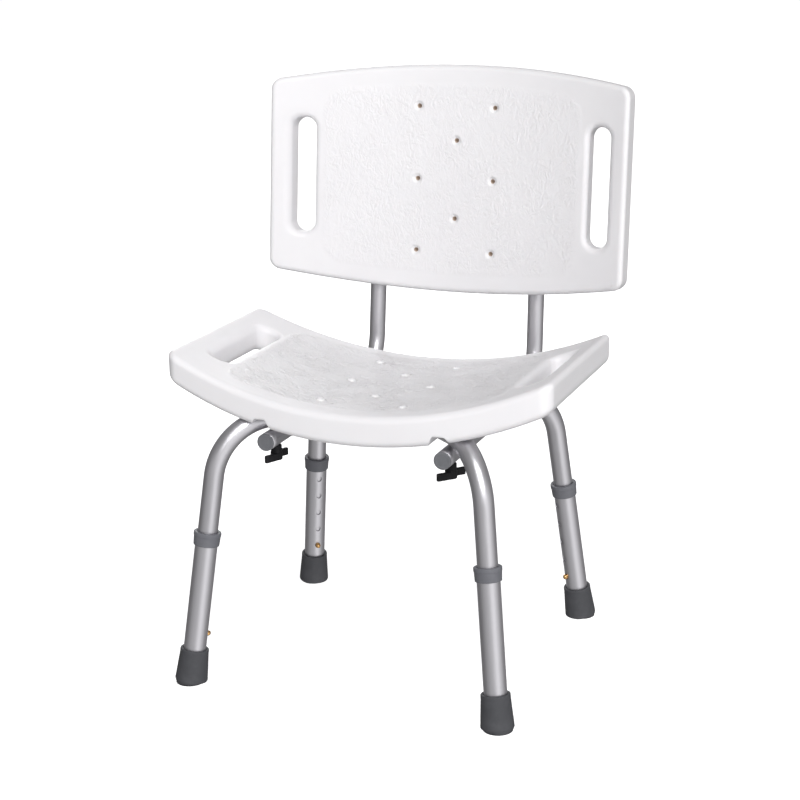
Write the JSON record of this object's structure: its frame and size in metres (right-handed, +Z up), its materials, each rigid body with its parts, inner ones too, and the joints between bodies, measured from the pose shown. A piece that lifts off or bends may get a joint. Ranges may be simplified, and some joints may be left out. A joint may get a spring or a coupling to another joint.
{
  "type": "shower chair",
  "caption": "Height-adjustable shower chair with a curved moulded seat and backrest, drain holes, hand holes and a crossed tubular metal frame on rubber-tipped legs.",
  "frame": {"origin": "centre of the chair's footprint on the floor", "axes": "+Z up, +X to the right seen from the front, the sitter faces -Y"},
  "size_m": [0.504, 0.5072, 0.7375],
  "materials": {
    "panel_plastic": "off-white blow-moulded polyethylene, pebble grain with smooth margins",
    "frame_tube": "satin anodised tube",
    "extension_tube": "satin anodised tube",
    "rubber": "moulded grey rubber",
    "collar_plastic": "moulded grey plastic",
    "plug_plastic": "moulded grey plastic",
    "knob_plastic": "black moulded plastic",
    "steel": "zinc-plated",
    "brass": "bright"
  },
  "bodies": {
    "frame": {"seat": "panel_plastic", "backrest": "panel_plastic", "leg_tube_front_left_to_rear_right": "frame_tube", "leg_tube_front_right_to_rear_left": "frame_tube", "back_tube_left": "frame_tube", "back_tube_front_plug_left": "plug_plastic", "back_tube_top_plug_left": "plug_plastic", "backrest_screw_lower_left": "steel", "backrest_screw_upper_left": "steel", "seat_insert_front_left": "brass", "seat_insert_rear_left": "brass", "rear_bolt_left": "steel", "back_tube_right": "frame_tube", "back_tube_front_plug_right": "plug_plastic", "back_tube_top_plug_right": "plug_plastic", "backrest_screw_lower_right": "steel", "backrest_screw_upper_right": "steel", "seat_insert_front_right": "brass", "seat_insert_rear_right": "brass", "rear_bolt_right": "steel", "snap_spring_front_left": "steel", "snap_spring_front_right": "steel", "snap_spring_rear_left": "steel", "snap_spring_rear_right": "steel"},
    "leg_extension_front_left": {"leg_extension_front_left": "extension_tube", "extension_collar_front_left": "collar_plastic", "rubber_tip_front_left": "rubber", "tip_washer_front_left": "steel"},
    "leg_extension_front_right": {"leg_extension_front_right": "extension_tube", "extension_collar_front_right": "collar_plastic", "rubber_tip_front_right": "rubber", "tip_washer_front_right": "steel"},
    "leg_extension_rear_left": {"leg_extension_rear_left": "extension_tube", "extension_collar_rear_left": "collar_plastic", "rubber_tip_rear_left": "rubber", "tip_washer_rear_left": "steel"},
    "leg_extension_rear_right": {"leg_extension_rear_right": "extension_tube", "extension_collar_rear_right": "collar_plastic", "rubber_tip_rear_right": "rubber", "tip_washer_rear_right": "steel"},
    "snap_button_front_left": {"snap_button_front_left": "brass"},
    "snap_button_front_right": {"snap_button_front_right": "brass"},
    "snap_button_rear_left": {"snap_button_rear_left": "brass"},
    "snap_button_rear_right": {"snap_button_rear_right": "brass"},
    "wing_screw_left": {"wing_knob_left": "knob_plastic", "wing_stud_left": "steel"},
    "wing_screw_right": {"wing_knob_right": "knob_plastic", "wing_stud_right": "steel"}
  },
  "joints": [
    {"name": "leg_front_left_length", "type": "slide", "parent": "frame", "child": "leg_extension_front_left", "axis": [-0.1037, -0.1185, -0.9875], "range_m": [0, 0.106], "deforming": ["snap_button_front_left", "snap_spring_front_left"]},
    {"name": "leg_front_right_length", "type": "slide", "parent": "frame", "child": "leg_extension_front_right", "axis": [0.1037, -0.1185, -0.9875], "range_m": [0, 0.106], "deforming": ["snap_button_front_right", "snap_spring_front_right"]},
    {"name": "leg_rear_left_length", "type": "slide", "parent": "frame", "child": "leg_extension_rear_left", "axis": [-0.1037, 0.1185, -0.9875], "range_m": [0, 0.106], "deforming": ["snap_button_rear_left", "snap_spring_rear_left"]},
    {"name": "leg_rear_right_length", "type": "slide", "parent": "frame", "child": "leg_extension_rear_right", "axis": [0.1037, 0.1185, -0.9875], "range_m": [0, 0.106], "deforming": ["snap_button_rear_right", "snap_spring_rear_right"]},
    {"name": "snap_button_front_left_press", "type": "slide", "parent": "frame", "child": "snap_button_front_left", "axis": [-0.6503, -0.7432, 0.1575], "range_m": [0, 0.0064], "stiffness_N_per_m": 1500, "springref_m": -0.002, "deforming": ["snap_spring_front_left"]},
    {"name": "snap_button_front_right_press", "type": "slide", "parent": "frame", "child": "snap_button_front_right", "axis": [0.6503, -0.7432, 0.1575], "range_m": [0, 0.0064], "stiffness_N_per_m": 1500, "springref_m": -0.002, "deforming": ["snap_spring_front_right"]},
    {"name": "snap_button_rear_left_press", "type": "slide", "parent": "frame", "child": "snap_button_rear_left", "axis": [-0.6503, 0.7432, 0.1575], "range_m": [0, 0.0064], "stiffness_N_per_m": 1500, "springref_m": -0.002, "deforming": ["snap_spring_rear_left"]},
    {"name": "snap_button_rear_right_press", "type": "slide", "parent": "frame", "child": "snap_button_rear_right", "axis": [0.6503, 0.7432, 0.1575], "range_m": [0, 0.0064], "stiffness_N_per_m": 1500, "springref_m": -0.002, "deforming": ["snap_spring_rear_right"]},
    {"name": "wing_screw_left_turn", "type": "hinge", "parent": "frame", "child": "wing_screw_left", "pos_m": [-0.1165, -0.14593, 0.29], "axis": [0, 0, 1], "continuous": true},
    {"name": "wing_screw_right_turn", "type": "hinge", "parent": "frame", "child": "wing_screw_right", "pos_m": [0.1165, -0.14593, 0.29], "axis": [0, 0, 1], "continuous": true}
  ]
}
